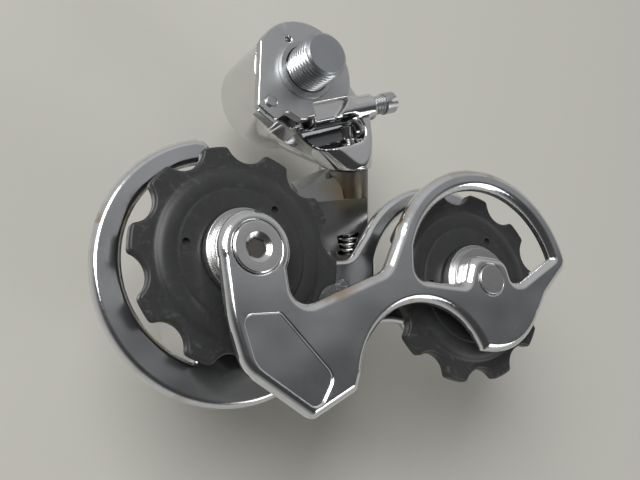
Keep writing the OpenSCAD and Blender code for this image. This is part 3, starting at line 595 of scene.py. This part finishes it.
def upper_knuckle():
    """The polished upper casting, with the sight bore over its inner pin drilled clean."""
    piece = fused("upper_knuckle", KNUCKLE, by_stop_plate)
    at, along = JOINT_AT["inner_link_swing"], AXIS["inner_link_swing"]
    low, high = SIGHT_BORE_ENDS
    bpy.ops.object.select_all(action="DESELECT")
    bpy.ops.mesh.primitive_cylinder_add(vertices=40, radius=SIGHT_BORE_R, depth=high - low)
    drill = placed(bpy.context.object, at + along * (low + high) / 2, along)
    set_finish(drill, PAINTED_SOCKET_SHADE)
    drilled(piece, drill)


def guide_bolt():
    """The bolt through the guide pulley, its head turned with a polished cone down to a socket painted dark
    as shade.
    """
    low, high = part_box("guide_bolt")
    head_r = (high.x - low.x) / 2 / MM
    top = high.z / MM
    under = top - GUIDE_HEAD_H
    rows = ((head_r, under), (head_r, top - 0.3), (head_r - 0.06, top - 0.12), (head_r - 0.25, top),
            (2.85, top), (2.7, top - 0.05), (2.0, top - 0.75), ("hex", top - 0.82), ("hex", top - 1.12))
    sides = 72

    def place(row, k):
        reach, z = rows[row]
        turn = math.tau * k / sides
        if reach == "hex":
            reach = GUIDE_SOCKET_W / 2 / math.cos((turn + 0.2) % (math.pi / 3) - math.pi / 6)
        return Vector((GUIDE.x + reach * math.cos(turn) * MM, GUIDE.y + reach * math.sin(turn) * MM, z * MM))

    head = drawn_up(sides, len(rows), place)
    edit(head)
    bpy.ops.mesh.select_all(action="DESELECT")
    bpy.ops.mesh.select_non_manifold()
    bpy.ops.mesh.fill_holes(sides=0)
    bpy.ops.mesh.select_all(action="SELECT")
    bpy.ops.mesh.normals_make_consistent(inside=False)
    done()
    set_finish(head, GUIDE_BOLT, PAINTED_SOCKET_SHADE)
    # The faces deep in the socket take the painted shade
    for face in head.data.polygons:
        shaded = under < face.center.z / MM < top - SHADE_DEPTH
        if shaded and (face.center - GUIDE).xy.length < SHADE_R * MM:
            face.material_index = 1
    piece = copy_of("guide_bolt")
    cut_above(piece, (under + 0.05) * MM)
    round_edges(piece, SCREW_EASE)
    set_finish(piece, GUIDE_BOLT, PAINTED_SOCKET_SHADE)
    joined(piece, head)
    smooth(piece, 32)
    stand_for(piece, "guide_bolt")


def inner_link():
    """The cast link, with the top of its shelf machined bright."""
    piece = dressed("inner_link", CAST, 0.3, 3)
    piece.data.materials.append(SHELF)
    along = AXIS["inner_link_swing"]
    eye = JOINT_AT["inner_link_swing"] + along * EYE_RISE
    for face in piece.data.polygons:
        out = face.center - eye
        level = face.normal.dot(along) > 0.9 and SHELF_LOW < out.dot(along) < SHELF_HIGH
        if level and out.length > EYE_R:
            face.material_index = 1


# Cage plates: satin faces with broad polished bevels

# Depth of a rolled rim as a share of its width, and its rows: the share of the width, then of the depth
RIM_DROP = 0.78
RIM_ROWS = ((0.08, 0.82), (0.30, 0.54), (0.58, 0.22), (0.82, 0.05), (1.0, 0.0), (1.18, 0.0))

# Spacing of the rows' points along an edge and round a corner, and the grid in mm that thins them
RIM_STEP = 0.45 * MM
RIM_TURN = math.radians(15)
RIM_GRID = 0.09

# Width of a loop that takes the broad rim
LARGE_LOOP = 25 * MM

# Least area of a level top that gets a rim
LEVEL_AREA = 4 * MM * MM


def inside_loops(points, starts, ends):
    """Which of the plane points lie inside the loops, a hole counting as outside."""
    x, y = points[:, :1], points[:, 1:]
    spans = (starts[:, 1] > y) != (ends[:, 1] > y)
    rise = np.where(spans, ends[:, 1] - starts[:, 1], 1)
    cross = starts[:, 0] + (y - starts[:, 1]) / rise * (ends[:, 0] - starts[:, 0])
    return (spans & (x < cross)).sum(1) % 2 == 1


def share_of_rim(points, starts, ends, widths):
    """Each plane point's distance to the nearest edge, as a share of the rim's width there."""
    along = ends - starts
    t = ((points[:, None] - starts) * along).sum(2) / (along ** 2).sum(1)
    nearest = starts + np.clip(t, 0, 1)[..., None] * along
    return (np.linalg.norm(points[:, None] - nearest, axis=2) / widths).min(1)


def rim_widths(rim, broad, narrow):
    """The rolled rim's width at each edge: broad on the large loops, narrow round bores and pockets."""
    widths = {}
    left = set(rim)
    while left:
        chain = [left.pop()]
        for edge in chain:
            for other in {e for vertex in edge.verts for e in vertex.link_edges} & left:
                left.remove(other)
                chain.append(other)
        across = [vertex.co.x for edge in chain for vertex in edge.verts]
        large = max(across) - min(across) > LARGE_LOOP
        widths.update({edge: broad if large else narrow for edge in chain})
    return widths


def rim_seeds(rim, corners, flat, widths):
    """Where the rows of points start: a place on the rim, the way into the face, the rim's width."""
    inward = {}
    for edge in rim:
        face = next(face for face in edge.link_faces if face in flat)
        along = (edge.verts[1].co - edge.verts[0].co).normalized()
        into = face.calc_center_median() - edge.verts[0].co
        inward[edge] = (into - along * into.dot(along)).normalized()
    seeds = []
    for edge in rim:
        a, b = (vertex.co for vertex in edge.verts)
        count = math.ceil((b - a).length / RIM_STEP)
        seeds += [(a.lerp(b, (k + 0.5) / count), inward[edge], widths[edge]) for k in range(count)]
    for vertex in corners:
        first, second = [edge for edge in vertex.link_edges if edge in widths][:2]
        a, b = inward[first], inward[second]
        count = 1 + math.ceil(a.angle(b) / RIM_TURN)
        seeds += [(vertex.co, a.lerp(b, k / count).normalized(), widths[first]) for k in range(count + 1)]
    return seeds


def rim_points(seeds, starts, ends, reach):
    """The plane points in mm of the rim's rows, thinned, and the depth of each below the face."""
    points, depths = [], []
    for at, into, width in seeds:
        for share, depth in RIM_ROWS:
            points.append((at + into * width * share).xy / MM)
            depths.append(width * RIM_DROP * depth)
    points, depths = np.array(points), np.array(depths)
    wanted = np.tile([share for share, _ in RIM_ROWS], len(seeds))
    clear = share_of_rim(points, starts, ends, reach) > wanted - 0.02
    keep = inside_loops(points, starts, ends) & clear
    points, depths = points[keep], depths[keep]
    order = np.unique(np.round(points / RIM_GRID), axis=0, return_index=True)[1]
    return points[order], depths[order]


def rolled_face(piece, z, way, broad, narrow):
    """Lays the flat face at height z anew, with rows of points along its edges that climb a rounded rim.
    way is +1 or -1, the face's side along Z. The rim's faces take the second finish."""
    shape = bmesh.new()
    shape.from_mesh(piece.data)
    flat = {face for face in shape.faces
            if face.normal.z * way > 0.99 and abs(face.calc_center_median().z - z) < 0.02 * MM}
    rim = [edge for face in flat for edge in face.edges
           if sum(other in flat for other in edge.link_faces) == 1]
    corners = list({vertex: None for edge in rim for vertex in edge.verts})
    widths = rim_widths(rim, broad, narrow)
    starts, ends = (np.array([edge.verts[k].co.xy for edge in rim]) / MM for k in (0, 1))
    reach = np.array([widths[edge] for edge in rim]) / MM
    points, depths = rim_points(rim_seeds(rim, corners, flat, widths), starts, ends, reach)
    number = {vertex: k for k, vertex in enumerate(corners)}
    plane = [vertex.co.xy / MM for vertex in corners] + [Vector(point) for point in points]
    edges = [(number[edge.verts[0]], number[edge.verts[1]]) for edge in rim]
    laid, _, faces, origin, _, _ = delaunay_2d_cdt(plane, edges, [], 0, 1e-5)
    middles = np.array([sum((laid[k] for k in face), Vector((0, 0))) / 3 for face in faces])
    solid = inside_loops(middles, starts, ends)
    drop = {vertex: widths[next(edge for edge in vertex.link_edges if edge in widths)] * RIM_DROP
            for vertex in corners}
    bmesh.ops.delete(shape, geom=list(flat), context="FACES")
    for vertex in corners:
        vertex.co.z = z - way * drop[vertex]
    made = []
    for at, sources in zip(laid, origin):
        k = min(sources)
        if k < len(corners):
            made.append(corners[k])
        else:
            depth = depths[k - len(corners)]
            made.append(shape.verts.new((at.x * MM, at.y * MM, z - way * depth)))
    for face, kept in zip(faces, solid):
        if kept:
            new = shape.faces.new([made[k] for k in face][::way])
            new.material_index = int(any(abs(vertex.co.z - z) > 0.001 * MM for vertex in new.verts))
            new.normal_update()
    shape.to_mesh(piece.data)
    shape.free()


def cage_plate(node, broad, narrow):
    """A cage plate with a broad rim on its upper face, a narrow one below, and polished walls."""
    piece = copy_of(node, whole=False)
    set_finish(piece, SATIN, EDGE)
    low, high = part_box(node)
    rolled_face(piece, high.z, 1, broad * MM, narrow * MM)
    rolled_face(piece, low.z, -1, narrow * MM, narrow * MM)
    for face in piece.data.polygons:
        if abs(face.normal.z) < 0.5:
            face.material_index = 1
    smooth(piece, 40)
    stand_for(piece, node)


def levelled(node, finish, edge, width):
    """A bent plate, with a rounded rim on each of its flat tops."""
    piece = copy_of(node, whole=False)
    set_finish(piece, finish, edge)
    areas = {}
    for face in piece.data.polygons:
        if face.normal.z > 0.99:
            z = round(face.center.z / MM, 2)
            areas[z] = areas.get(z, 0) + face.area
    for z, area in areas.items():
        if area > LEVEL_AREA:
            rolled_face(piece, z * MM, 1, width * MM, width * MM)
    smooth(piece, 40)
    stand_for(piece, node)


# Pulleys: one moulding each, with a domed band between the teeth and the hub. Sizes in mm

TEETH = 10
TIP_R, POCKET_AT, POCKET_R = 21.2, 22.7, 4.4
TOOTH_HALF, HUB_HALF = 1.3, 2.5

# Rounding of the teeth's rim and the degrees of its rows
TOOTH_EASE = 0.6
TOOTH_EASE_ROWS = (0, 25, 50, 70, 90)

# From the teeth in to the bore: radius, then rise above the teeth
BAND = ((17.3, 0.0), (16.9, 0.02), (16.6, 0.10), (16.3, 0.28), (16.0, 0.48), (15.6, 0.66), (15.0, 0.80),
        (14.2, 0.88), (13.5, 0.88), (13.05, 0.80), (12.85, 0.80), (12.72, 0.95), (12.58, 1.13), (12.3, 1.2),
        (9.2, 1.2), (8.35, 1.2), (8.05, 1.05))

# Points along a tip, along a pocket and kept for each tooth, and how many to each side ease a corner
TIP_STEPS, POCKET_STEPS, KEPT_STEPS, CORNER_STEPS = 60, 110, 36, 8

# Small blind holes in the hub: how many, their circle, radius and drill, and the first one's turn
HOLES, HOLE_AT, HOLE_R, HOLE_DRILL, HOLE_TURN = 3, 11.3, 0.75, 1.6, 58


def around(radius, turn):
    return Vector((radius * math.cos(turn), radius * math.sin(turn)))


def tooth_rim(phase):
    """Points in mm round the teeth, corners eased, each with its inward normal."""
    opening = math.acos((POCKET_AT ** 2 + POCKET_R ** 2 - TIP_R ** 2) / (2 * POCKET_AT * POCKET_R))
    half_tip = math.pi / TEETH - math.acos(
        (POCKET_AT ** 2 + TIP_R ** 2 - POCKET_R ** 2) / (2 * POCKET_AT * TIP_R))
    dense = []
    for tooth in range(TEETH):
        middle = math.radians(phase) + tooth * math.tau / TEETH
        pocket = middle + math.pi / TEETH
        dense += [around(TIP_R, middle + half_tip * (2 * k / TIP_STEPS - 1)) for k in range(TIP_STEPS)]
        dense += [around(POCKET_AT, pocket)
                  + around(POCKET_R, pocket + math.pi + opening * (1 - 2 * k / POCKET_STEPS))
                  for k in range(POCKET_STEPS)]
    count = len(dense)
    near = range(-CORNER_STEPS, CORNER_STEPS + 1)
    eased = [sum((dense[(i + k) % count] for k in near), Vector((0, 0))) / len(near) for i in range(count)]
    points = []
    for i in range(TEETH * KEPT_STEPS):
        at = round(i * count / (TEETH * KEPT_STEPS))
        along = (eased[(at + 3) % count] - eased[at - 3]).normalized()
        points.append((eased[at % count], Vector((-along.y, along.x))))
    return points


def pulley(node, centre, phase, finish):
    """A pulley drawn up from its lower bore round the teeth to its upper bore, with its small holes."""
    half = []
    for degrees in TOOTH_EASE_ROWS:
        turn = math.radians(degrees)
        inset, drop = TOOTH_EASE * (1 - math.cos(turn)), TOOTH_EASE * (1 - math.sin(turn))
        half.append(("rim", inset, TOOTH_HALF - drop))
    half += [("ring", radius, TOOTH_HALF + rise) for radius, rise in BAND]
    rows = [(kind, size, -z) for kind, size, z in reversed(half)] + half
    points = tooth_rim(phase)

    def place(row, k):
        kind, size, z = rows[row]
        at, inward = points[k]
        spot = at + inward * size if kind == "rim" else at.normalized() * size
        return Vector((spot.x, spot.y, z)) * MM + centre

    piece = drawn_up(len(points), len(rows), place)
    edit(piece)
    bpy.ops.mesh.select_mode(type="EDGE")
    bpy.ops.mesh.select_all(action="DESELECT")
    bpy.ops.mesh.select_non_manifold()
    bpy.ops.mesh.bridge_edge_loops()
    bpy.ops.mesh.select_all(action="SELECT")
    bpy.ops.mesh.normals_make_consistent(inside=False)
    done()
    for k in range(HOLES):
        spot = around(HOLE_AT, math.radians(phase + HOLE_TURN + 360 / HOLES * k))
        at = centre + Vector((spot.x, spot.y, HUB_HALF)) * MM
        bpy.ops.object.select_all(action="DESELECT")
        bpy.ops.mesh.primitive_cylinder_add(vertices=20, radius=HOLE_R * MM, depth=HOLE_DRILL * MM,
                                            location=at)
        drilled(piece, bpy.context.object)
    piece.name = node + "_look"
    set_finish(piece, finish)
    smooth(piece, 38)
    stand_for(piece, node)


# The pieces

cage_plate("inner_cage_plate", 1.5, 0.4)
cage_plate("outer_cage_plate", 1.2, 0.4)
pulley("guide_pulley", GUIDE, -2, GUIDE_PLASTIC)
pulley("tension_pulley", TENSION, 7, TENSION_PLASTIC)
for side in ("inner", "outer"):
    dressed("guide_%s_cap" % side, GUIDE_CAP, 0.25, 3)
    dressed("tension_%s_cap" % side, TENSION_CAP, 0.25, 3)
guide_bolt()
dressed("tension_bolt", TENSION_BOLT, 0.2, 3)
dressed("tension_nut", TENSION_BOLT, 0.2, 3)
for name in ("guide", "tension"):
    dressed(name + "_inner_race", STEEL, 0.1)
    dressed(name + "_outer_race", STEEL, 0.1)
    dressed(name + "_balls", STEEL, 0)

mounting_bolt()
dressed("hanger_washer", ZINC, 0.2)
levelled("stop_plate", PLATED, EDGE, 0.25)
dressed("stop_pin", STEEL, 0.2)
upper_knuckle()
dressed("barrel_bush", BRASS, 0.1)
wound("barrel_spring", WIRE)
dressed("barrel_cap", BARREL, 0.3, 3)
dressed("upper_inner_pin", STEEL, 0.2)
dressed("upper_outer_pin", STEEL, 0.2)
angle_screw()
dressed("high_limit_screw", ZINC, 0.15)
dressed("low_limit_screw", ZINC, 0.15)
dressed("cable_adjuster", ZINC, 0.2)
inner_link()
wound("return_spring", WIRE)
dressed("outer_link", BARREL, 0.4, 3)
dressed("cable_anchor_bolt", ZINC, 0.2)
dressed("cable_washer", ZINC, 0.2)
fused("lower_knuckle", BARREL)
dressed("lower_inner_pin", STEEL, 0.2)
dressed("lower_outer_pin", STEEL, 0.2)
dressed("pivot_bush", BRASS, 0.1)
wound("cage_spring", WIRE)
dressed("pivot_shaft", STEEL, 0.15)
dressed("pivot_cap", BARREL, 0.3, 3)
dressed("cage_stop_screw", ZINC, 0.15)


# Camera, floor and light

CAMERA_AT = (-0.07507, -0.07668, 0.13420)
CAMERA_RIGHT = (0.8634, 0.0049, 0.5045)
CAMERA_UP = (-0.1296, 0.9685, 0.2124)
CAMERA_BACK = (-0.4876, -0.2488, 0.8369)

camera_data = bpy.data.cameras.new("camera")
camera = bpy.data.objects.new("camera", camera_data)
bpy.context.scene.collection.objects.link(camera)
camera_data.sensor_width = 36
camera_data.lens = 44.89
camera_data.clip_start = 0.005
camera_data.clip_end = 20
camera.matrix_world = Matrix((CAMERA_RIGHT, CAMERA_UP, CAMERA_BACK)).transposed().to_4x4()
camera.location = CAMERA_AT
bpy.context.scene.camera = camera

# The floor lies just clear of the lowest point
FLOOR_GAP = 0.2 * MM
bpy.ops.object.select_all(action="DESELECT")
bpy.ops.mesh.primitive_plane_add(size=6, location=(0, 0, cad_low.z - FLOOR_GAP))
floor = bpy.context.object
floor.name = "floor"
pale = Finish("pale_floor")
set_finish(floor, pale.set(Base_Color=(0.56, 0.55, 0.50, 1), Roughness=0.9, Specular_IOR_Level=0.2))

# Where the lamps point, and where the room is brightest as a direction from the part
LAMP_AIM = Vector((0.01, -0.03, 0.0))
BRIGHT_SIDE = Vector((0, 0.94, 0.34))


def softbox(name, at, size, power):
    data = bpy.data.lights.new(name, "AREA")
    data.shape = "RECTANGLE"
    data.size, data.size_y = size
    data.energy = power
    lamp = bpy.data.objects.new(name, data)
    bpy.context.scene.collection.objects.link(lamp)
    lamp.location = at
    lamp.rotation_euler = (LAMP_AIM - Vector(at)).to_track_quat("-Z", "Y").to_euler()


def daylight(level):
    return (level, level * 1.005, level * 1.03, 1)


softbox("window", (-0.55, 0.30, 0.75), (0.7, 0.6), 8.5)
softbox("fill", (0.7, -0.5, 0.6), (0.5, 0.5), 1.8)

world = bpy.data.worlds.new("studio")
bpy.context.scene.world = world
world.use_nodes = True
sky = Graph(world.node_tree)
aim = sky.node("ShaderNodeTexCoord", output="Generated")
height = sky.node("ShaderNodeSeparateXYZ", None, {0: aim}, "Z")
facing = sky.vector("DOT_PRODUCT", {0: aim, 1: BRIGHT_SIDE}, "Value")
levels = ((0.0, 0.08), (0.25, 0.10), (0.36, 0.16), (0.43, 0.30), (0.53, 0.56), (0.75, 0.66), (1.0, 0.85))
overhead = sky.ramp(facing, *((at, daylight(level)) for at, level in levels))
low_down = sky.ramp(height, (0.28, 1.0), (0.60, 0.0))
room = sky.mix(low_down, overhead, grey(0.72))
background = sky.tree.nodes["Background"]
sky.tree.links.new(room.out, background.inputs["Color"])
background.inputs["Strength"].default_value = 0.6
bpy.context.scene.view_settings.view_transform = "Standard"
